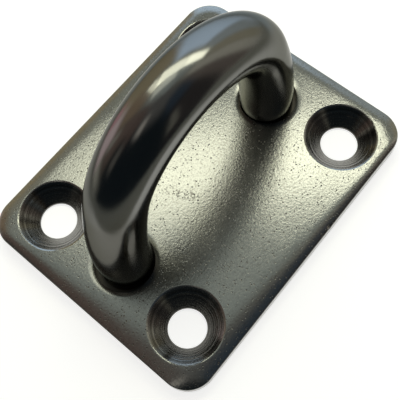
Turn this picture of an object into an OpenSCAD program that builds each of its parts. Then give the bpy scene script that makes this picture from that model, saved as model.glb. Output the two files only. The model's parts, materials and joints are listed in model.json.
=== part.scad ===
// Pad eye: a rectangular base plate, a bent bar bow whose legs pass through the plate,
// and a weld around each leg on the underside.
// Frame: X along the bow, Y across it, Z up. Origin at the middle of the plate's underside.

/* [Base plate] */
// Length of the plate, along the bow
plate_len = 50; // [46:0.5:80]
// Width of the plate, across the bow
plate_wid = 39; // [37:0.5:70]
// Thickness of the plate
plate_thick = 3; // [2.8:0.1:5]
// Radius of the plate's corners, seen from above
corner_r = 4.2; // [3:0.1:8]
// Width of the band along the top edge that rolls down
edge_roll_w = 1.8; // [1:0.1:2.2]
// Radius of that roll
edge_roll_r = 3.2; // [2.6:0.1:6]
// Radius that breaks the top and bottom corners of the plate's edge
edge_break_r = 0.25; // [0.1:0.05:0.4]

/* [Screw holes] */
// Spacing of the screw holes along the plate
hole_pitch_x = 35.3; // [32:0.1:60]
// Spacing of the screw holes across the plate
hole_pitch_y = 25; // [24:0.1:50]
// Diameter of a screw hole
hole_d = 5.5; // [4:0.1:6.5]
// Diameter of a countersink at its mouth
csk_d = 10.4; // [8:0.1:10.6]
// Angle of a countersink across its two sides
csk_angle = 90; // [82:1:100]
// Width of the broken edge round a countersink's mouth
csk_break_w = 0.2; // [0.1:0.05:0.4]

/* [Bow] */
// Diameter of the bar
bar_d = 8; // [5:0.1:9]
// Distance between the two legs' centre lines at the plate
leg_pitch = 32; // [28:0.1:34]
// Height of the bow's top above the plate's underside
bow_height = 33.5; // [30:0.1:60]
// Distance that each leg draws in from the plate to the crown
leg_draw_in = 1.7; // [1:0.05:2.5]
// Length of the straight shoulder between a leg's long bend and the crown
shoulder_len = 1; // [0.5:0.1:2]

/* [Leg seats] */
// Gap between a leg and its bore on the eye's side
leg_clear = 0.1; // [0.05:0.05:0.3]
// Extra gap on the side away from the eye, because the bores are wider and further apart than the legs
bore_slack = 0.6; // [0.2:0.1:1]
// Width of the dished band round a bore, on top of the plate
bore_dish_w = 0.84; // [0.4:0.02:1.2]
// Radius of that dish
bore_dish_r = 3; // [2:0.1:6]
// Width of the weld around a leg, beyond the bore
weld_w = 1; // [0.5:0.1:1.5]
// Depth of the weld from the plate's underside
weld_depth = 1.2; // [0.6:0.1:1.3]

/* [Hidden] */
$fn = 96;

// Overlap of a cutter past the face that it cuts
cut_past = 1;
// Steel colours, as the satin plate, the polished bar and the welds show them
plate_colour = "#a9aba2";
bow_colour = "#8c8e8a";
weld_colour = "#9a8f7d";

bar_r = bar_d / 2;
leg_x = leg_pitch / 2;
bore_r = bar_r + leg_clear + bore_slack / 2;
bore_x = leg_x + bore_slack / 2;

// The dish is an arc that leaves the top face as a tangent and ends at the bore
dish_depth = bore_dish_r - sqrt(pow(bore_dish_r, 2) - pow(bore_dish_w, 2));
dish_z = plate_thick - dish_depth;

// The roll is an arc that leaves the top face as a tangent and ends at the edge
roll_centre_z = plate_thick - edge_roll_r;
edge_z = roll_centre_z + sqrt(pow(edge_roll_r, 2) - pow(edge_roll_w, 2));

// The bow's centre line on each side: a straight leg, a long side arc, a straight shoulder and
// half of the crown's arc, each tangent to the next. The side arc turns by the smaller angle of a
// 7-24-25 triangle, and its radius follows from the draw-in.
bend_sin = 0.28;
bend_cos = 0.96;
bend_angle = atan2(bend_sin, bend_cos);
crown_r = leg_x - leg_draw_in;
radius_gap = (leg_draw_in - shoulder_len * bend_sin) / (1 - bend_cos);
side_r = crown_r + radius_gap;
crown_rise = radius_gap * bend_sin + shoulder_len * bend_cos;
crown_z = bow_height - bar_r - crown_r;
leg_h = crown_z - crown_rise;

// A countersink's cone, from the mouth down to the hole
hole_r = hole_d / 2;
csk_r = csk_d / 2;
csk_depth = (csk_r - hole_r) / tan(csk_angle / 2);
csk_break_depth = csk_break_w / 2;

// Half section of the plate, from the middle out to its edge at x = run
module half_section(run) {
    roll_x = run - edge_roll_w;
    break_x = run - edge_break_r;
    break_z = roll_centre_z
        + sqrt(pow(edge_roll_r - edge_break_r, 2) - pow(edge_roll_w - edge_break_r, 2));
    // Where the edge's rounding leaves the roll
    reach = edge_roll_r / (edge_roll_r - edge_break_r);
    leave_x = roll_x + (break_x - roll_x) * reach;
    leave_z = roll_centre_z + (break_z - roll_centre_z) * reach;
    out_x = run + cut_past;
    union() {
        difference() {
            union() {
                square([run, edge_z]);
                square([roll_x, plate_thick]);
                intersection() {
                    square([run, plate_thick]);
                    translate([roll_x, roll_centre_z]) circle(edge_roll_r);
                }
            }
            polygon([[leave_x, leave_z], [run, break_z], [out_x, break_z],
                     [out_x, plate_thick + cut_past], [leave_x, plate_thick + cut_past]]);
            polygon([[break_x, 0], [break_x, -cut_past], [out_x, -cut_past],
                     [out_x, edge_break_r], [run, edge_break_r]]);
        }
        translate([break_x, break_z]) circle(edge_break_r);
        translate([break_x, edge_break_r]) circle(edge_break_r);
    }
}

module full_section(run) {
    half_section(run);
    mirror([1, 0]) half_section(run);
}

// Plate without holes: two crossed slabs and four quarter-round corners
module plate_blank() {
    straight_x = plate_len / 2 - corner_r;
    straight_y = plate_wid / 2 - corner_r;
    rotate([90, 0, 90])
        translate([0, 0, -straight_x])
            linear_extrude(2 * straight_x) full_section(plate_wid / 2);
    rotate([90, 0, 0])
        translate([0, 0, -straight_y])
            linear_extrude(2 * straight_y) full_section(plate_len / 2);
    for (turn = [0, 1, 2, 3]) {
        side_x = turn == 0 || turn == 3 ? 1 : -1;
        side_y = turn < 2 ? 1 : -1;
        translate([side_x * straight_x, side_y * straight_y, 0])
            rotate([0, 0, 90 * turn])
                rotate_extrude(angle = 90) half_section(corner_r);
    }
}

// Screw hole, countersink and the broken edge round its mouth
module screw_hole_cut() {
    mouth_z = plate_thick - csk_break_depth;
    translate([0, 0, -cut_past]) cylinder(r = hole_r, h = plate_thick + 2 * cut_past);
    translate([0, 0, mouth_z - csk_depth]) cylinder(r1 = hole_r, r2 = csk_r, h = csk_depth);
    translate([0, 0, mouth_z])
        cylinder(r1 = csk_r, r2 = csk_r + csk_break_w * (1 + cut_past / csk_break_depth),
                 h = csk_break_depth + cut_past);
}

// Bore for a leg: straight, with a dished band round it on top and a bevel for the weld below
module leg_bore_cut() {
    dish_x = bore_r + bore_dish_w;
    rotate_extrude()
        difference() {
            translate([0, -cut_past]) square([dish_x, plate_thick + 2 * cut_past]);
            translate([bore_r, -2 * cut_past])
                square([2 * bore_dish_w, dish_z - dish_depth / 2 + 2 * cut_past]);
            intersection() {
                translate([bore_r, dish_z - dish_depth]) square([2 * bore_dish_w, 2 * dish_depth]);
                translate([dish_x, plate_thick - bore_dish_r]) circle(bore_dish_r);
            }
        }
    translate([0, 0, -cut_past])
        cylinder(r = bore_r + weld_w, h = cut_past);
    cylinder(r1 = bore_r + weld_w, r2 = bore_r, h = weld_depth);
}

module base_plate() {
    color(plate_colour)
        difference() {
            plate_blank();
            for (x = [-1, 1], y = [-1, 1])
                translate([x * hole_pitch_x / 2, y * hole_pitch_y / 2, 0]) screw_hole_cut();
            for (x = [-1, 1])
                translate([x * bore_x, 0, 0]) leg_bore_cut();
        }
}

// Half ring of bar in the XZ plane, above the X axis
module half_ring(radius) {
    rotate([90, 0, 0])
        rotate_extrude(angle = 180)
            translate([radius, 0]) circle(bar_r);
}

// Block that fills the side of the bend's end plane where z is positive, turned with the bend
module past_bend(reach) {
    rotate([0, -bend_angle, 0])
        translate([-reach, -reach, 0]) cube(2 * reach);
}

// One leg, the long arc above it and its shoulder, on the +X side
module bow_side() {
    translate([leg_x, 0, 0]) cylinder(r = bar_r, h = leg_h);
    translate([leg_x - side_r, 0, leg_h]) {
        difference() {
            half_ring(side_r);
            past_bend(2 * side_r);
        }
        rotate([0, -bend_angle, 0])
            translate([side_r, 0, 0]) cylinder(r = bar_r, h = shoulder_len);
    }
}

// The crown's arc, between the two shoulders
module crown() {
    translate([0, 0, crown_z])
        intersection() {
            half_ring(crown_r);
            past_bend(2 * crown_r);
            mirror([1, 0, 0]) past_bend(2 * crown_r);
        }
}

module bow() {
    color(bow_colour) {
        bow_side();
        mirror([1, 0, 0]) bow_side();
        crown();
    }
}

// Weld that fills the bevel between a leg's end and the plate, ground flush underneath
module leg_weld(side) {
    color(weld_colour)
        difference() {
            translate([side * bore_x, 0, 0]) cylinder(r1 = bore_r + weld_w, r2 = bore_r, h = weld_depth);
            translate([side * leg_x, 0, -cut_past]) cylinder(r = bar_r, h = weld_depth + 2 * cut_past);
        }
}

module left_leg_weld() leg_weld(-1);
module right_leg_weld() leg_weld(1);

base_plate();
bow();
left_leg_weld();
right_leg_weld();
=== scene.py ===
import json
import math

import bmesh
import bpy
import numpy as np
from mathutils import Matrix, Vector


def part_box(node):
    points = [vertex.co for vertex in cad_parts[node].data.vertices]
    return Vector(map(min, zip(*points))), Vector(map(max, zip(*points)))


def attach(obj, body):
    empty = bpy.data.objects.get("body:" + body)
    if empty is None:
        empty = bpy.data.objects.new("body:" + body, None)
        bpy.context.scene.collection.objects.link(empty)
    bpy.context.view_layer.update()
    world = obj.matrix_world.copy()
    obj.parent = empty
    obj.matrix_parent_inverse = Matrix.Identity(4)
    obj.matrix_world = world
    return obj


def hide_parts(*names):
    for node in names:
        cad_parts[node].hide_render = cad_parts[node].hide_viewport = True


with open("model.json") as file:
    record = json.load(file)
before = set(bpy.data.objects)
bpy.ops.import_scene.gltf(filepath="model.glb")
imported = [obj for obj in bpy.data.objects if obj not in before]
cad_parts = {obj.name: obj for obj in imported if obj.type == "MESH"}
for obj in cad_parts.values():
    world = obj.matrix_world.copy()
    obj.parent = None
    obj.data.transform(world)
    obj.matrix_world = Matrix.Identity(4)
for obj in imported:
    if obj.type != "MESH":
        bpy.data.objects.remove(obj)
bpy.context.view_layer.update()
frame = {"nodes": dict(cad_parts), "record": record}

scene = bpy.context.scene
scene.view_settings.view_transform = "Standard"
mm = 0.001
mergeDistance = 0.0002 * mm           # points of neighbouring patches closer than this become one
mounts = {mount["name"]: mount for mount in frame["record"]["mounts"]}
print("frame loaded:", sorted(frame["nodes"]))


# Mesh helpers

def gridFaces(rows, columns, closed):
    # quads of a rows x columns grid, whose columns join up where it is closed
    row = np.arange(rows - 1)[:, None]
    column = np.arange(columns if closed else columns - 1)[None, :]
    after = (column + 1) % columns
    corners = (row * columns + column, row * columns + after,
               (row + 1) * columns + after, (row + 1) * columns + column)
    return np.stack([corner.ravel() for corner in corners], axis=1)


def makePiece(name, patches):
    # joins grid patches into one skin; a patch is (points[rows, columns, 3], closed, mirrored copies)
    points, faces, used = [], [], 0
    for grid, closed, copies in patches:
        for flipX, flipY in copies:
            points.append(grid.reshape(-1, 3) * (flipX, flipY, 1))
            faces.append(gridFaces(grid.shape[0], grid.shape[1], closed) + used)
            used += grid.shape[0] * grid.shape[1]
    mesh = bpy.data.meshes.new(name)
    mesh.from_pydata(np.concatenate(points).tolist(), [], np.concatenate(faces).tolist())
    skin = bmesh.new()
    skin.from_mesh(mesh)
    bmesh.ops.remove_doubles(skin, verts=skin.verts, dist=mergeDistance)
    bmesh.ops.recalc_face_normals(skin, faces=skin.faces)
    skin.to_mesh(mesh)
    skin.free()
    mesh.shade_smooth()
    piece = bpy.data.objects.new(name, mesh)
    scene.collection.objects.link(piece)
    return piece


def roundedProfile(corners, radii, steps=5):
    # polyline through corners, with each inner corner turned into an arc of its radius
    corners = np.asarray(corners, float)
    path = [corners[:1]]
    for before, corner, after, radius in zip(corners[:-2], corners[1:-1], corners[2:], radii):
        inward = (before - corner) / np.linalg.norm(before - corner)
        onward = (after - corner) / np.linalg.norm(after - corner)
        half = math.acos(np.clip(inward @ onward, -1, 1)) / 2
        bisector = (inward + onward) / np.linalg.norm(inward + onward)
        centre = corner + bisector * radius / math.sin(half)
        sweep = np.linspace(half - math.pi / 2, math.pi / 2 - half, steps)[:, None]
        across = (onward - inward) / np.linalg.norm(onward - inward)
        path.append(centre - radius * (bisector * np.cos(sweep) - across * np.sin(sweep)))
    path.append(corners[-1:])
    return np.concatenate(path)


def divided(path, longest):
    # splits a polyline's long stretches evenly, so that none is longer than the given length
    pieces = []
    for start, end in zip(path[:-1], path[1:]):
        count = max(1, math.ceil(np.linalg.norm(end - start) / longest))
        pieces.append(start + (end - start) * np.arange(count)[:, None] / count)
    return np.concatenate(pieces + [path[-1:]])


# Base plate: a rounded rectangle whose top edge rolls down, with countersunk holes and two leg bores

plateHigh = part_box("base_plate")[1]
screwHoles = mounts["screw_holes"]["dims"]
plate = {
    "halfLength": plateHigh.x,
    "halfWidth": plateHigh.y,
    "thickness": plateHigh.z,
    "cornerRadius": 4.2 * mm,
    "rollReach": 2.7 * mm,            # band along the top edge that rolls down, ever more steeply
    "rollDrop": 0.55 * mm,
    "edgeBreak": 0.25 * mm,
    "holeX": screwHoles["spacing_x_mm"] / 2 * mm,
    "holeY": screwHoles["spacing_y_mm"] / 2 * mm,
    "holeRadius": screwHoles["hole_r_mm"] * mm,
    "sinkRadius": 5.2 * mm,           # countersink's mouth, with sides at 45 degrees
    "sinkBreak": 0.2 * mm,            # width of the broken edge round it
    "legX": 16 * mm,
    "boreX": 16.3 * mm,               # the bores are wider and further apart than the legs
    "boreRadius": 4.4 * mm,
    "dishWidth": 0.84 * mm,           # band round a bore that sinks towards the leg
    "dishRadius": 3.0 * mm,
    "weldWidth": 1.0 * mm,
    "weldDepth": 1.2 * mm,
    "skirt": 1.0 * mm,                # band outside the six cells that hold one hole each
    "cellY": 6.5 * mm,                # line between a corner's cell and a leg's cell
    "softEdge": 0.05 * mm,            # rounding of the machined edges
    "longest": {"sink": 0.25 * mm, "bore": 0.3 * mm, "wall": 0.4 * mm},   # faces along these profiles
    # points along each stretch of the grid
    "points": {"between": 44, "upEnd": 24, "arc": 25, "topSide": 36, "middle": 14, "legEnd": 14,
               "top": 17, "under": 6, "dish": 22, "roll": 14, "edgeArc": 9, "underArc": 7},
    # the roll along the edges at -Y and -X widens towards their corner: two places along the edge,
    # and the roll's reach and drop at both
    "sideY": ((-25 * mm, 15 * mm), (6.0 * mm, 1.2 * mm), (0.95 * mm, 0.32 * mm)),
    "sideX": ((-19.5 * mm, 14 * mm), (7.5 * mm, 2.0 * mm), (0.8 * mm, 0.45 * mm)),
}


def rollDrop(inset):
    # drop below the flat top at that inset from the edge: a cubic that starts at the roll's reach
    into = np.clip(1 - inset / plate["rollReach"], 0, 1)
    return plate["rollDrop"] * into ** 3


def topHeight(x, y):
    # height of the top face, from the inset inside the rounded rectangle
    cornerX = np.abs(x) - (plate["halfLength"] - plate["cornerRadius"])
    cornerY = np.abs(y) - (plate["halfWidth"] - plate["cornerRadius"])
    outward = np.hypot(np.maximum(cornerX, 0), np.maximum(cornerY, 0))
    inset = plate["cornerRadius"] - outward - np.minimum(np.maximum(cornerX, cornerY), 0)
    return plate["thickness"] - rollDrop(inset)


def fanned(start, end, foot, reach, count):
    # places along a line, evenly turned as seen from a point at that reach above the foot
    turns = np.linspace(math.atan2(start - foot, reach), math.atan2(end - foot, reach), count + 1)
    return foot + reach * np.tan(turns)


def along(x, y):
    # points (x, y), where either may be one number for all
    x, y = np.broadcast_arrays(np.asarray(x, float), np.asarray(y, float))
    return np.stack([x, y], axis=1)


def cellRows(border, centre, profile, underRadius):
    # rows from the top border in to the hole, down its profile (radius, height) and out below
    turn = np.arctan2(border[:, 1] - centre[1], border[:, 0] - centre[0])
    ray = np.stack([np.cos(turn), np.sin(turn)], axis=1)
    rim = centre + ray * profile[0, 0]
    easing = (1 - np.cos(np.linspace(0, math.pi, plate["points"]["top"]))) / 2
    rows = []
    for share in easing[:-1]:
        flat = border + (rim - border) * share
        rows.append(np.column_stack([flat, topHeight(flat[:, 0], flat[:, 1])]))
    for radius, height in profile:
        flat = centre + ray * radius
        rows.append(np.column_stack([flat, np.minimum(topHeight(flat[:, 0], flat[:, 1]), height)]))
    last = centre + ray * underRadius
    for share in np.linspace(0, 1, plate["points"]["under"]):
        flat = last + (border - last) * share
        rows.append(np.column_stack([flat, np.zeros(len(flat))]))
    return np.stack(rows)


def bendSides(mesh):
    # moves the top along two edges from the even roll to drop (1 - inset / reach)^3, where drop and
    # reach run evenly along the edge and the two edges' squares add up; the underside stays flat
    points = np.empty(len(mesh.vertices) * 3)
    mesh.vertices.foreach_get("co", points)
    x, y, z = points.reshape(-1, 3).T
    even, sunk = 0.0, 0.0
    for inset, onward, (places, reaches, drops) in ((y + plate["halfWidth"], x, plate["sideY"]),
                                                    (x + plate["halfLength"], y, plate["sideX"])):
        into = np.clip(1 - inset / np.interp(onward, places, reaches), 0, 1)
        sunk = np.hypot(sunk, np.interp(onward, places, drops) * into ** 3)
        even = even + rollDrop(inset)
    z += (even - sunk) * z / plate["thickness"]
    mesh.vertices.foreach_set("co", points)
    mesh.update()


def arcPoints(radius, start, end, count):
    # points (sin, cos) of an arc, from straight up round to outward
    swing = np.linspace(start, end, count)[:, None]
    return radius * np.concatenate([np.sin(swing), np.cos(swing)], axis=1)


def sinkProfile():
    # countersink: broken edge, 45 degree side, straight hole
    thick, soft, sink = plate["thickness"], plate["softEdge"], plate["sinkRadius"]
    broken, hole = plate["sinkBreak"], plate["holeRadius"]
    mouth = thick - broken / 2
    neck = mouth - (sink - hole)
    corners = [(sink + broken + 2 * soft, thick), (sink + broken, thick), (sink, mouth),
               (hole, neck), (hole, 0), (hole + 4 * soft, 0)]
    return divided(roundedProfile(corners, (soft, soft, soft, 2 * soft)), plate["longest"]["sink"])


def boreProfile():
    # leg bore: an arc that sinks from the top face to the bore, straight bore, bevel for the weld
    soft, bore, dishRadius = plate["softEdge"], plate["boreRadius"], plate["dishRadius"]
    bevel = bore + plate["weldWidth"]
    swing = np.linspace(0, math.asin(plate["dishWidth"] / dishRadius), plate["points"]["dish"])
    dish = np.column_stack([bore + plate["dishWidth"] - dishRadius * np.sin(swing),
                            plate["thickness"] - dishRadius * (1 - np.cos(swing))])
    corners = [dish[-2], dish[-1], (bore, plate["weldDepth"]), (bevel, 0), (bevel + 4 * soft, 0)]
    profile = np.concatenate([dish[:-2], roundedProfile(corners, (soft, soft, soft))])
    return divided(profile, plate["longest"]["bore"])


def wallProfile():
    # skirt: the rest of the roll, its broken edge, the wall and the underside's broken edge
    edge, skirt, points = plate["edgeBreak"], plate["skirt"], plate["points"]
    leave = 0.0
    for _ in range(6):
        # a few rounds settle where the broken edge's arc leaves the roll with the same slope
        inset = edge * (1 - math.sin(leave))
        into = 1 - inset / plate["rollReach"]
        leave = math.atan(3 * plate["rollDrop"] / plate["rollReach"] * into ** 2)
    insets = np.linspace(skirt, inset, points["roll"])
    roll = np.column_stack([-insets, plate["thickness"] - rollDrop(insets)])
    centre = roll[-1] - edge * np.array([math.sin(leave), math.cos(leave)])
    broken = centre + arcPoints(edge, leave, math.pi / 2, points["edgeArc"])[1:]
    under = np.array([-edge, edge]) + arcPoints(edge, math.pi / 2, math.pi, points["underArc"])
    return divided(np.concatenate([roll, broken, under, [[-skirt, 0]]]), plate["longest"]["wall"])


def makePlate():
    points, skirt, divide = plate["points"], plate["skirt"], plate["cellY"]
    sideX, sideY = plate["halfLength"] - skirt, plate["halfWidth"] - skirt
    arcRadius = plate["cornerRadius"] - skirt
    hole = np.array([plate["holeX"], plate["holeY"]])
    bore = np.array([plate["boreX"], 0])

    # borders of the cells in the +X +Y quarter
    between = fanned(0, sideX, (hole[0] + bore[0]) / 2, divide, points["between"])
    upEnd = fanned(divide, sideY - arcRadius, hole[1], sideX - hole[0], points["upEnd"])
    topSide = fanned(sideX - arcRadius, 0, hole[0], sideY - hole[1], points["topSide"])
    middle = fanned(sideY, divide, hole[1], hole[0], points["middle"])
    arcCentre = np.array([sideX - arcRadius, sideY - arcRadius])
    arcTurn = np.linspace(0, math.pi / 2, points["arc"])
    arc = arcCentre + arcRadius * np.stack([np.cos(arcTurn), np.sin(arcTurn)], axis=1)
    cornerEdge = np.concatenate([along(sideX, upEnd)[:-1], arc[:-1], along(topSide, sideY)])
    cornerBorder = np.concatenate([along(between, divide)[:-1], cornerEdge, along(0, middle)[1:-1]])

    legEnd = fanned(0, divide, 0, sideX - bore[0], points["legEnd"])
    legMiddle = fanned(divide, -divide, 0, bore[0], points["middle"])
    legEdge = along(sideX, np.concatenate([-legEnd[:0:-1], legEnd]))
    legBorder = np.concatenate([along(between, -divide)[:-1], legEdge,
                                along(between[::-1], divide)[1:], along(0, legMiddle)[1:-1]])

    # outline of one quarter, from the +X end to the +Y side, with its outward directions
    outline = np.concatenate([along(sideX, legEnd)[:-1], cornerEdge])
    fromArc = outline - np.minimum(outline, arcCentre)
    outward = fromArc / np.linalg.norm(fromArc, axis=1, keepdims=True)
    wall = wallProfile()
    flat = outline[None] + outward[None] * (wall[:, 0] + skirt)[:, None, None]
    rise = np.broadcast_to(wall[:, 1][:, None, None], flat.shape[:2] + (1,))
    skirtGrid = np.concatenate([flat, rise], axis=2)

    sinkLine, boreLine = sinkProfile(), boreProfile()
    quarters = ((1, 1), (-1, 1), (-1, -1), (1, -1))
    halves = ((1, 1), (-1, 1))
    piece = makePiece("plate_body", [
        (cellRows(cornerBorder, hole, sinkLine, sinkLine[-1, 0]), True, quarters),
        (cellRows(legBorder, bore, boreLine, boreLine[-1, 0]), True, halves),
        (skirtGrid, False, quarters)])
    bendSides(piece.data)
    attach(piece, "root")
    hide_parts("base_plate")
    return piece


plateBody = makePlate()
print("plate made:", len(plateBody.data.polygons), "faces")


# Bow: a round bar bent up from one leg, over the crown and down the other

bow = {
    "top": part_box("bow")[1].z,
    "barRadius": 4.0 * mm,
    "legX": plate["legX"],
    "drawIn": 1.7 * mm,               # each leg leans in by this much up to the crown
    "shoulder": 1.0 * mm,             # straight stretch between the long bend and the crown
    "bendSin": 0.28,
    "bendCos": 0.96,
    "sides": 96,
    "step": 0.35 * mm,
    "endBreak": 0.15 * mm,
    "footRings": 7,                   # rings across the flat end, and round its broken edge
    "breakRings": 5,
}


def bowPath():
    # centre line as (x, z, turn) from the +X foot to the crown's top: leg, long bend, shoulder, crown
    bend = math.atan2(bow["bendSin"], bow["bendCos"])
    crownRadius = bow["legX"] - bow["drawIn"]
    gap = (bow["drawIn"] - bow["shoulder"] * bow["bendSin"]) / (1 - bow["bendCos"])
    sideRadius = crownRadius + gap
    crownZ = bow["top"] - bow["barRadius"] - crownRadius
    legHeight = crownZ - gap * bow["bendSin"] - bow["shoulder"] * bow["bendCos"]

    def count(length):
        return max(2, math.ceil(length / bow["step"]))

    rise = np.linspace(bow["endBreak"], legHeight, count(legHeight))[:-1]
    leg = np.column_stack([np.full(len(rise), bow["legX"]), rise, np.zeros(len(rise))])
    turn = np.linspace(0, bend, count(sideRadius * bend))
    side = np.column_stack([bow["legX"] - sideRadius * (1 - np.cos(turn)),
                            legHeight + sideRadius * np.sin(turn), turn])
    turn = np.linspace(bend, math.pi / 2, count(crownRadius * (math.pi / 2 - bend)))
    crown = np.column_stack([crownRadius * np.cos(turn), crownZ + crownRadius * np.sin(turn), turn])
    return np.concatenate([leg, side, crown])


def makeBow():
    # ring of the bar at each point of the centre line: centre + radius (cos a * outward + sin a * y)
    half = bowPath()
    mirrored = half[-2::-1] * (-1, 1, -1) + (0, 0, math.pi)
    path = np.concatenate([half, mirrored])
    around = np.linspace(0, 2 * math.pi, bow["sides"], endpoint=False)
    radius = bow["barRadius"]
    outX, outZ = np.cos(path[:, 2])[:, None], np.sin(path[:, 2])[:, None]
    bar = np.stack([path[:, :1] + radius * np.cos(around) * outX,
                    np.broadcast_to(radius * np.sin(around), (len(path), len(around))),
                    path[:, 1:2] + radius * np.cos(around) * outZ], axis=2)

    # foot: a flat end with a broken edge, as rings that grow from the middle of the leg
    edge, rings = bow["endBreak"], bow["footRings"]
    swing = np.linspace(0, math.pi / 2, bow["breakRings"] + 1)[:-1]
    footRadius = np.concatenate([np.linspace(0, radius - edge, rings + 1)[:-1],
                                 radius - edge + edge * np.sin(swing)])
    footRise = np.concatenate([np.zeros(rings), edge - edge * np.cos(swing)])
    foot = np.stack([bow["legX"] + footRadius[:, None] * np.cos(around),
                     footRadius[:, None] * np.sin(around),
                     np.broadcast_to(footRise[:, None], (len(footRise), len(around)))], axis=2)
    otherFoot = foot[::-1] * (-1, 1, 1)
    piece = makePiece("bow_bar", [(np.concatenate([foot, bar, otherFoot]), True, ((1, 1),))])
    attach(piece, "root")
    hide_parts("bow")
    return piece


bowBar = makeBow()
print("bow made:", len(bowBar.data.polygons), "faces")


# Camera at the photograph's angle

camera = {
    "place": (-25.436 * mm, -30.594 * mm, 99.109 * mm),
    "aim": (0.768 * mm, 0.295 * mm, 3.0 * mm),
    "roll": -10.696,                  # degrees
    "lens": 64.30,
    "shift": (-0.001, -0.0738),
}


def makeCamera():
    data = bpy.data.cameras.new("camera")
    data.lens = camera["lens"]
    data.shift_x, data.shift_y = camera["shift"]
    data.clip_start = 1 * mm
    view = bpy.data.objects.new("camera", data)
    scene.collection.objects.link(view)
    place = Vector(camera["place"])
    turn = (Vector(camera["aim"]) - place).to_track_quat("-Z", "Y").to_matrix().to_4x4()
    roll = Matrix.Rotation(math.radians(camera["roll"]), 4, "Z")
    view.matrix_world = Matrix.Translation(place) @ turn @ roll
    scene.camera = view


makeCamera()
print("camera set")


# Shader helpers

def addNode(tree, kind, inputs=None, **settings):
    # new node, whose inputs are set to values or linked to sockets
    made = tree.nodes.new(kind)
    for name, value in settings.items():
        setattr(made, name, value)
    for name, value in (inputs or {}).items():
        if isinstance(value, bpy.types.NodeSocket):
            tree.links.new(value, made.inputs[name])
        else:
            made.inputs[name].default_value = value
    return made


def calculate(tree, operation, first, second=0.0, third=0.0):
    sockets = {0: first, 1: second, 2: third}
    return addNode(tree, "ShaderNodeMath", sockets, operation=operation).outputs[0]


def vectorMath(tree, operation, output, *vectors):
    # the output is "Vector", or "Value" for a length or a dot product
    made = addNode(tree, "ShaderNodeVectorMath", dict(enumerate(vectors)), operation=operation)
    return made.outputs[output]


def noise(tree, place, scale, detail, roughness=0.5):
    sockets = {"Vector": place, "Scale": scale, "Detail": detail, "Roughness": roughness}
    return addNode(tree, "ShaderNodeTexNoise", sockets).outputs["Fac"]


def softStep(tree, value, low, high):
    # eased from 0 at low to 1 at high
    sockets = {"Value": value, "From Min": low, "From Max": high}
    return addNode(tree, "ShaderNodeMapRange", sockets, interpolation_type="SMOOTHSTEP").outputs[0]


def mixColours(tree, share, first, second):
    # a Mix node has its colours at 6 and 7, and the mixed colour at 2
    mixed = addNode(tree, "ShaderNodeMix", {0: share, 6: first, 7: second}, data_type="RGBA")
    return mixed.outputs[2]


def newMaterial(name):
    material = bpy.data.materials.new(name)
    material.use_nodes = True
    material.node_tree.nodes.clear()
    return material, material.node_tree


def millimetres(tree):
    # the piece's own coordinates, in millimetres
    place = addNode(tree, "ShaderNodeTexCoord").outputs["Object"]
    sockets = {"Vector": place, "Scale": (1 / mm,) * 3}
    return addNode(tree, "ShaderNodeMapping", sockets).outputs["Vector"]


def finishSteel(tree, colour, rough, height, depth, other=None):
    # bare metal of that colour and roughness, with a fine relief of height times depth
    bump = addNode(tree, "ShaderNodeBump", {"Height": height, "Strength": 1.0, "Distance": depth})
    shader = addNode(tree, "ShaderNodeBsdfPrincipled", {
        "Base Color": colour, "Roughness": rough, "Metallic": 1.0,
        "Normal": bump.outputs["Normal"], **(other or {})})
    addNode(tree, "ShaderNodeOutputMaterial", {"Surface": shader.outputs["BSDF"]})


def newGroup(name, inputs, outputs):
    # empty node group with a vector input, float inputs and float outputs
    group = bpy.data.node_groups.new(name, "ShaderNodeTree")
    group.interface.new_socket("Vector", in_out="INPUT", socket_type="NodeSocketVector")
    for socket in inputs:
        group.interface.new_socket(socket, in_out="INPUT", socket_type="NodeSocketFloat")
    for socket in outputs:
        group.interface.new_socket(socket, in_out="OUTPUT", socket_type="NodeSocketFloat")
    return group, addNode(group, "NodeGroupInput"), addNode(group, "NodeGroupOutput")


blastedSkin = {
    "detail": 3.0,
    "grainRoughness": 0.65,
    "pitSize": (0.14, 0.40),          # least and most radius of a pit, in widths of its cell
    "pitFloor": 0.3,                  # share of that radius which is sunk in full
    "hollow": (0.5, 0.3),             # heights of the grain where a hollow begins and is full
    "mottle": 0.22,                   # broad patches per millimetre
}


def makeBlastedGrain():
    # skin of a finely blasted steel: even grain, small round pits here and there, broad mottling
    group, inside, out = newGroup("blastedGrain", ("Grain", "Pits", "Pit Share"),
                                  ("Height", "Pit", "Hollow", "Mottle"))
    place, detail = inside.outputs["Vector"], blastedSkin["detail"]
    grain = noise(group, place, inside.outputs["Grain"], detail, blastedSkin["grainRoughness"])
    cells = addNode(group, "ShaderNodeTexVoronoi", {"Vector": place, "Scale": inside.outputs["Pits"]})
    chance = addNode(group, "ShaderNodeSeparateColor", {"Color": cells.outputs["Color"]})
    chosen = calculate(group, "LESS_THAN", chance.outputs[0], inside.outputs["Pit Share"])
    least, most = blastedSkin["pitSize"]
    size = calculate(group, "MULTIPLY_ADD", chance.outputs[1], most - least, least)
    fromMiddle = calculate(group, "DIVIDE", cells.outputs["Distance"], size)
    sunk = softStep(group, fromMiddle, 1.0, blastedSkin["pitFloor"])
    pit = calculate(group, "MULTIPLY", sunk, chosen)
    made = {"Height": calculate(group, "SUBTRACT", grain, pit), "Pit": pit,
            "Hollow": softStep(group, grain, *blastedSkin["hollow"]),
            "Mottle": noise(group, place, blastedSkin["mottle"], detail)}
    for name, value in made.items():
        group.links.new(value, out.inputs[name])
    return group


blastedGrain = makeBlastedGrain()


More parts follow.
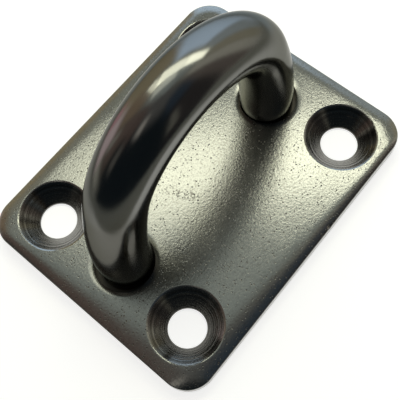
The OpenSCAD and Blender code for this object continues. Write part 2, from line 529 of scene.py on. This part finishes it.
def markMask(tree, place, middle, turn, reach, core=0.2):
    # 1 in the core of an ellipsoid of that reach, eased to 0 at its skin
    sockets = {"Vector": place, "Location": middle, "Rotation": (0, 0, math.radians(turn)),
               "Scale": reach}
    inside = addNode(tree, "ShaderNodeMapping", sockets, vector_type="TEXTURE").outputs["Vector"]
    return softStep(tree, vectorMath(tree, "LENGTH", "Value", inside), 1.0, core)


def distanceFrom(tree, place, centre):
    # level distance from an upright axis that stands in the same place in all four quarters
    folded = vectorMath(tree, "ABSOLUTE", "Vector", place)
    across = vectorMath(tree, "SUBTRACT", "Vector", folded, centre + (0,))
    level = vectorMath(tree, "MULTIPLY", "Vector", across, (1, 1, 0))
    return vectorMath(tree, "LENGTH", "Value", level)


plateFinish = {
    "colour": (0.335, 0.335, 0.312, 1),
    "shade": (0.30, 0.30, 0.28, 1),
    "pitColour": (0.12, 0.11, 0.095, 1),
    "roughness": (0.165, 0.24),       # least and most, with the mottling
    "darkRoughness": 0.3,             # added in the pits and the stain
    "grain": 3.1,                     # grains, pits per millimetre
    "pits": 2.9,
    "pitShare": 0.5,
    "hollowShare": 0.36,              # share of the pits' colour in the hollows of the grain
    "grainDepth": 0.019 * mm,
    # marks of use: middle in millimetres, turn in degrees and reach in millimetres
    "stain": ((-3.7, 0.2, 3.0), -64, (4.4, 1.2, 2.0)),
    "stainShare": 0.6,
    "flecks": (0.5, 0.62),            # speckle from which the stain begins and is full
    "nick": ((5.5, -19.2, 2.5), 0, (0.5, 0.4, 0.4)),
    "nickDepth": 7.0,                 # in grain depths
    # tint round the welds on the underside, and its reach from the bore's middle in millimetres
    "tint": (0.25, 0.21, 0.155, 1),
    "tintReach": (5.2, 8.5),
    "tintRise": (0.5, 0.1),           # heights in millimetres where it begins and is full
    "smoothReach": (4.8, 5.8),        # the dish round a bore is worked smooth, out to here
    "smoothGrain": 0.25,              # share of the grain's depth that is left there
}


def makePlateSteel():
    material, tree = newMaterial("plateSteel")
    place = millimetres(tree)
    grain = addNode(tree, "ShaderNodeGroup", {
        "Vector": place, "Grain": plateFinish["grain"], "Pits": plateFinish["pits"],
        "Pit Share": plateFinish["pitShare"]}, node_tree=blastedGrain).outputs

    # pits and the stain are dark and rough, and hollows of the grain a little darker
    speckle = noise(tree, place, plateFinish["pits"], blastedSkin["detail"])
    flecks = softStep(tree, speckle, *plateFinish["flecks"])
    stain = calculate(tree, "MULTIPLY", calculate(tree, "MULTIPLY", flecks, plateFinish["stainShare"]),
                      markMask(tree, place, *plateFinish["stain"]))
    dark = calculate(tree, "MAXIMUM", grain["Pit"], stain)
    low, high = plateFinish["roughness"]
    rough = calculate(tree, "MULTIPLY_ADD", grain["Mottle"], high - low, low)
    rough = calculate(tree, "MULTIPLY_ADD", dark, plateFinish["darkRoughness"], rough)
    colour = mixColours(tree, grain["Mottle"], plateFinish["shade"], plateFinish["colour"])
    hollows = calculate(tree, "MULTIPLY", grain["Hollow"], plateFinish["hollowShare"])
    darker = calculate(tree, "MAXIMUM", dark, hollows)
    colour = mixColours(tree, darker, colour, plateFinish["pitColour"])

    rise = addNode(tree, "ShaderNodeSeparateXYZ", {0: place}).outputs["Z"]
    under = softStep(tree, rise, *plateFinish["tintRise"])
    hot, cold = plateFinish["tintReach"]
    fromBore = distanceFrom(tree, place, (plate["boreX"] / mm, 0))
    tinted = calculate(tree, "MULTIPLY", under, softStep(tree, fromBore, cold, hot))
    colour = mixColours(tree, tinted, colour, plateFinish["tint"])

    worked, left = softStep(tree, fromBore, *plateFinish["smoothReach"]), plateFinish["smoothGrain"]
    depth = calculate(tree, "MULTIPLY_ADD", worked, 1 - left, left)
    height = calculate(tree, "MULTIPLY", grain["Height"], depth)
    nick = calculate(tree, "MULTIPLY", markMask(tree, place, *plateFinish["nick"]),
                     plateFinish["nickDepth"])
    height = calculate(tree, "SUBTRACT", height, nick)
    finishSteel(tree, colour, rough, height, plateFinish["grainDepth"])
    return material


sinkFinish = {
    "colour": (0.26, 0.255, 0.235, 1),
    "groove": (0.13, 0.127, 0.113, 1),
    "roughness": 0.19,
    "rings": 3.0,                     # turning marks per millimetre
    "ringDetail": 4.0,
    "ringRoughness": 0.75,
    "ringDepth": 0.030 * mm,
    "grooveTo": (0.38, 0.6),          # heights of the marks, from a groove's colour to the plain one
    # one broader mark: its radius, half its width and half its floor's width, in millimetres
    "chatter": (4.3, 0.14, 0.04),
    "chatterDepth": 0.3,              # in ring depths
}


def makeSinkSteel():
    # turned cone: rings about the nearest hole
    material, tree = newMaterial("countersinkSteel")
    radius = distanceFrom(tree, millimetres(tree), (plate["holeX"] / mm, plate["holeY"] / mm))
    rings = addNode(tree, "ShaderNodeTexNoise", {
        "W": radius, "Scale": sinkFinish["rings"], "Detail": sinkFinish["ringDetail"],
        "Roughness": sinkFinish["ringRoughness"]}, noise_dimensions="1D").outputs["Fac"]
    plain = softStep(tree, rings, *sinkFinish["grooveTo"])
    colour = mixColours(tree, plain, sinkFinish["groove"], sinkFinish["colour"])
    middle, outer, inner = sinkFinish["chatter"]
    aside = calculate(tree, "ABSOLUTE", calculate(tree, "SUBTRACT", radius, middle))
    mark = calculate(tree, "MULTIPLY", softStep(tree, aside, outer, inner), sinkFinish["chatterDepth"])
    height = calculate(tree, "SUBTRACT", rings, mark)
    finishSteel(tree, colour, sinkFinish["roughness"], height, sinkFinish["ringDepth"])
    return material


bowFinish = {
    "colour": (0.228, 0.228, 0.22, 1),
    "shade": (0.203, 0.203, 0.192, 1),
    "edgeTint": (0.42, 0.42, 0.40, 1),  # reflection at a grazing angle, as a share
    # a soft darker band on the leg at -X: a painted darker reflection, in place of surroundings darker
    # than the white card;
    # heights in millimetres where it begins and is full, from below and from above
    "band": (0.15, 0.148, 0.136, 1),
    "bandRise": ((9.5, 15.0), (24.5, 20.0)),
    "bandSide": (4.0, -4.0),          # the same along x
    "roughness": (0.14, 0.19),
    "mottle": (0.5, 5.0),             # patches per millimetre, and their detail
    "waves": (0.35, 2.0),             # slow waves left by polishing, in the same way
    "waveDepth": 0.02 * mm,
}


def makeBowSteel():
    material, tree = newMaterial("bowSteel")
    place = millimetres(tree)
    mottle = noise(tree, place, *bowFinish["mottle"])
    waves = noise(tree, place, *bowFinish["waves"])
    low, high = bowFinish["roughness"]
    rough = calculate(tree, "MULTIPLY_ADD", mottle, high - low, low)
    colour = mixColours(tree, mottle, bowFinish["shade"], bowFinish["colour"])
    parts = addNode(tree, "ShaderNodeSeparateXYZ", {0: place}).outputs
    share = softStep(tree, parts["X"], *bowFinish["bandSide"])
    for begins, full in bowFinish["bandRise"]:
        share = calculate(tree, "MULTIPLY", share, softStep(tree, parts["Z"], begins, full))
    # painted darker reflection: the soft band on the leg at -X
    colour = mixColours(tree, share, colour, bowFinish["band"])
    finishSteel(tree, colour, rough, waves, bowFinish["waveDepth"],
                {"Specular Tint": bowFinish["edgeTint"]})
    return material


weldFinish = {
    "ground": (0.34, 0.325, 0.29, 1),
    "straw": (0.25, 0.205, 0.145, 1),
    "strawTo": (0.35, 0.65),          # mottling, from straw to ground metal
    "oxideAndGapShade": (0.05, 0.046, 0.040, 1),  # oxide and painted shade, inside the gap round the leg
    "groundTo": (0.2, 0.6),           # millimetres above the underside, from ground metal to oxide and painted shade
    "roughness": (0.24, 0.44),        # least and most, with the scratches
    "mottle": 0.6,                    # patches per millimetre
    "scratches": (0.5, 9.0, 0.5),     # grinding marks per millimetre along x, y and z
    "scratchDepth": 0.008 * mm,
    "detail": 3.0,
}


def makeWeldSteel():
    # ground flat underneath with a straw tint, dark with oxide and painted shade where it shows down
    # the gap
    material, tree = newMaterial("weldSteel")
    place, detail = millimetres(tree), weldFinish["detail"]
    stretched = addNode(tree, "ShaderNodeMapping", {"Vector": place, "Scale": weldFinish["scratches"]})
    scratches = noise(tree, stretched.outputs["Vector"], 1.0, detail)
    mottle = noise(tree, place, weldFinish["mottle"], detail)
    plain = softStep(tree, mottle, *weldFinish["strawTo"])
    colour = mixColours(tree, plain, weldFinish["straw"], weldFinish["ground"])
    rise = addNode(tree, "ShaderNodeSeparateXYZ", {0: place}).outputs["Z"]
    gap = softStep(tree, rise, *weldFinish["groundTo"])
    # oxide and painted shade: dark where the weld shows down the gap
    colour = mixColours(tree, gap, colour, weldFinish["oxideAndGapShade"])
    low, high = weldFinish["roughness"]
    rough = calculate(tree, "MULTIPLY_ADD", scratches, high - low, low)
    finishSteel(tree, colour, rough, scratches, weldFinish["scratchDepth"])
    return material


def paintPlate():
    # the countersinks' cones take the turned finish, the rest the blasted one
    mesh = plateBody.data
    mesh.materials.append(makePlateSteel())
    mesh.materials.append(makeSinkSteel())
    centres = np.empty(len(mesh.polygons) * 3)
    mesh.polygons.foreach_get("center", centres)
    x, y, z = np.abs(centres.reshape(-1, 3)).T
    reach = np.hypot(x - plate["holeX"], y - plate["holeY"])
    turned = (reach < plate["sinkRadius"]) & (z > plate["softEdge"])
    mesh.polygons.foreach_set("material_index", turned.astype(np.int32))


paintPlate()
bowBar.data.materials.append(makeBowSteel())
weldSteel = makeWeldSteel()
for weldName in ("left_leg_weld", "right_leg_weld"):
    weldMesh = frame["nodes"][weldName].data
    weldMesh.materials.clear()
    weldMesh.materials.append(weldSteel)
print("steel finishes made")


# Studio: a pale floor with a white card on it, a strip lamp, a softbox and soft panels all round

floor = {
    "radius": 190 * mm,
    "height": -0.05 * mm,             # just clear of the plate's underside
    "sides": 96,
    "rings": (0.0, 0.1, 0.3, 1.0),    # shares of the radius
    "fade": (75 * mm, 140 * mm),      # the floor goes over into the panels' light here
    "colour": (0.70, 0.70, 0.66, 1),
    # sides of the white card: azimuth of the side's outward direction, its distance from the middle,
    # and the width over which the card's light fades beyond it
    "cardSides": ((36.8, 33.7 * mm, 85 * mm), (303.8, 30.3 * mm, 30 * mm),
                  (219.5, 32.1 * mm, 9 * mm), (136.0, 31.3 * mm, 45 * mm)),
    "cardLight": 0.76,
    # painted light: tint of the card towards the softbox, as if its light falls there, and where it
    # begins and is full, along that azimuth
    "tint": (0.85, 1.08, 1.35, 1),
    "softboxLightSide": (36.8, 36 * mm, 62 * mm),
}


def makeFloor():
    # level disc: (r cos a, r sin a, height), on a few rings
    around = np.linspace(0, 2 * math.pi, floor["sides"], endpoint=False)
    rings = np.array(floor["rings"])[:, None] * floor["radius"]
    level = np.full((len(rings), len(around)), floor["height"])
    grid = np.stack([rings * np.cos(around), rings * np.sin(around), level], axis=2)
    piece = makePiece("floor", [(grid, True, ((1, 1),))])
    if piece.data.polygons[0].normal.z < 0:
        piece.data.flip_normals()
    material, tree = newMaterial("floorWhite")
    path = addNode(tree, "ShaderNodeLightPath").outputs
    seen = calculate(tree, "MAXIMUM", path["Is Camera Ray"], path["Is Glossy Ray"])
    card = calculate(tree, "MAXIMUM", seen, path["Is Transmission Ray"])
    place = addNode(tree, "ShaderNodeTexCoord").outputs["Object"]

    def outwards(azimuth):
        # distance from the middle of the floor along that azimuth
        turn = math.radians(azimuth)
        return vectorMath(tree, "DOT_PRODUCT", "Value", place, (math.cos(turn), math.sin(turn), 0))

    for azimuth, edge, fade in floor["cardSides"]:
        card = calculate(tree, "MULTIPLY", card, softStep(tree, outwards(azimuth), edge + fade, edge))
    # painted light: the card's glow turns bluish towards the softbox
    azimuth, begins, full = floor["softboxLightSide"]
    tinted = softStep(tree, outwards(azimuth), begins, full)
    tint = mixColours(tree, tinted, (1, 1, 1, 1), floor["tint"])
    paint = addNode(tree, "ShaderNodeBsdfDiffuse", {"Color": floor["colour"]}).outputs[0]
    strength = calculate(tree, "MULTIPLY", card, floor["cardLight"])
    glow = addNode(tree, "ShaderNodeEmission", {"Color": tint, "Strength": strength}).outputs[0]
    both = addNode(tree, "ShaderNodeAddShader", {0: paint, 1: glow}).outputs[0]
    clear = addNode(tree, "ShaderNodeBsdfTransparent").outputs[0]
    under = addNode(tree, "ShaderNodeNewGeometry").outputs["Backfacing"]
    reach = vectorMath(tree, "LENGTH", "Value", place)
    gone = calculate(tree, "MAXIMUM", under, softStep(tree, reach, *floor["fade"]))
    surface = addNode(tree, "ShaderNodeMixShader", {0: gone, 1: both, 2: clear}).outputs[0]
    addNode(tree, "ShaderNodeOutputMaterial", {"Surface": surface})
    piece.data.materials.append(material)


lamps = {
    # ends of a lamp's middle line and its width in millimetres, its colour and radiance
    "strip": ((82, -10, 120), (39, 21, 100), 23, (1.0, 1.0, 0.80), 4.3),
    "stripEnd": ((39, 21, 100), (5, 46, 84), 23, (1.0, 1.0, 0.80), 3.25),
    "stripTip": ((5, 46, 84), (-8, 46, 80), 23, (1.0, 1.0, 0.80), 2.0),
    "stripGlow": ((18, 14, 96), (-10, 26, 82), 14, (1.0, 1.0, 0.84), 0.9),
}


def makeLamp(name, start, end, width, colour, radiance):
    # a rectangle that faces the object, with the strength that gives its radiance
    start, end = Vector(start) * mm, Vector(end) * mm
    data = bpy.data.lights.new(name, "AREA")
    data.shape = "RECTANGLE"
    data.size, data.size_y = (end - start).length, width * mm
    data.color = colour
    data.energy = radiance * math.pi * data.size * data.size_y
    lamp = bpy.data.objects.new(name, data)
    scene.collection.objects.link(lamp)
    middle = (start + end) / 2
    side = (end - start).normalized()
    back = (middle - side * middle.dot(side)).normalized()
    turn = Matrix((side, back.cross(side), back)).transposed()
    lamp.matrix_world = Matrix.Translation(middle) @ turn.to_4x4()


roomLight = {
    "dark": (0.015, 0.021, 0.026, 1),
    # panels, each laid over those before it: middle, half width and soft edge in azimuth,
    # the same in polar angle, all in degrees, and colour
    "panels": {
        "topFill": ((0, 180, 1), (0, 30, 14), (0.16, 0.16, 0.155)),
        "backFill": ((40, 92, 26), (75, 60, 24), (0.24, 0.22, 0.17)),
        "lowFill": ((40, 104, 18), (122, 30, 6), (0.55, 0.54, 0.47)),
        "overhead": ((55, 75, 34), (10, 24, 12), (0.41, 0.46, 0.44)),
        "lampGlow": ((40, 52, 14), (46, 9, 9), (0.37, 0.39, 0.33)),
        "lampSide": ((84, 12, 8), (44, 14, 8), (0.42, 0.41, 0.33)),
        "tanPanel": ((80, 24, 6), (80, 24, 7), (0.50, 0.43, 0.28)),
        "brownPanel": ((108, 13, 8), (55, 17, 10), (0.37, 0.28, 0.195)),
        "palePanel": ((112, 12, 6), (94, 18, 8), (0.98, 0.79, 0.81)),
        "rosePanel": ((98, 5, 3), (98, 9, 4), (0.90, 0.52, 0.57)),
        "dimPanel": ((146, 20, 10), (36, 16, 10), (0.165, 0.12, 0.105)),
        "darkPanel": ((133, 11, 8), (60, 26, 12), (0.20, 0.15, 0.13)),
        "streak": ((127, 4, 2), (72, 10, 5), (0.42, 0.40, 0.35)),
        "edgeStreak": ((160, 6, 3), (64, 12, 6), (0.17, 0.165, 0.15)),
        "warmPanel": ((188, 10, 7), (31, 8, 7), (0.70, 0.66, 0.60)),
        "blueGap": ((284, 27, 10), (35, 14, 10), (0.047, 0.068, 0.095)),
        "darkGap": ((284, 20, 8), (75, 28, 10), (0.050, 0.046, 0.046)),
        "slit": ((268, 4, 2), (72, 14, 6), (0.24, 0.235, 0.20)),
        "sideFill": ((313, 11, 7), (70, 40, 14), (0.20, 0.17, 0.15)),
        "sidePanel": ((331, 10, 5), (60, 36, 10), (0.62, 0.60, 0.51)),
        "sidePanelEdge": ((350, 10, 5), (75, 28, 8), (0.47, 0.44, 0.33)),
        "softboxEdge": ((12, 14, 5), (86, 38, 6), (0.52, 0.585, 0.60)),
        "softbox": ((40, 20.5, 5), (82, 33, 6), (0.98, 1.22, 1.50)),
        "softboxFloor": ((36, 26, 6), (114, 14, 8), (0.90, 1.05, 1.22)),
    },
}


def makeRoomLight():
    # the colour for each direction, from its azimuth about +Z and its angle from +Z
    room = bpy.data.worlds.new("room")
    room.use_nodes = True
    tree = room.node_tree
    tree.nodes.clear()
    ray = addNode(tree, "ShaderNodeTexCoord").outputs["Generated"]
    parts = addNode(tree, "ShaderNodeSeparateXYZ", {0: ray}).outputs
    azimuth = calculate(tree, "DEGREES", calculate(tree, "ARCTAN2", parts["Y"], parts["X"]))
    polar = calculate(tree, "DEGREES", calculate(tree, "ARCCOSINE", parts["Z"]))

    def covered(aside, half, soft):
        # 1 within half a panel's width, eased to 0 across its soft edge
        return softStep(tree, calculate(tree, "ABSOLUTE", aside), half + soft, half - soft)

    light = roomLight["dark"]
    for (middle, *width), (polarMiddle, *polarWidth), colour in roomLight["panels"].values():
        turned = calculate(tree, "WRAP", calculate(tree, "SUBTRACT", azimuth, middle), 180.0, -180.0)
        above = calculate(tree, "SUBTRACT", polar, polarMiddle)
        share = calculate(tree, "MULTIPLY", covered(turned, *width), covered(above, *polarWidth))
        light = mixColours(tree, share, light, colour + (1,))
    back = addNode(tree, "ShaderNodeBackground", {"Color": light})
    addNode(tree, "ShaderNodeOutputWorld", {"Surface": back.outputs[0]})
    scene.world = room


makeFloor()
for lampName, lampValues in lamps.items():
    makeLamp(lampName, *lampValues)
makeRoomLight()
print("studio lit")
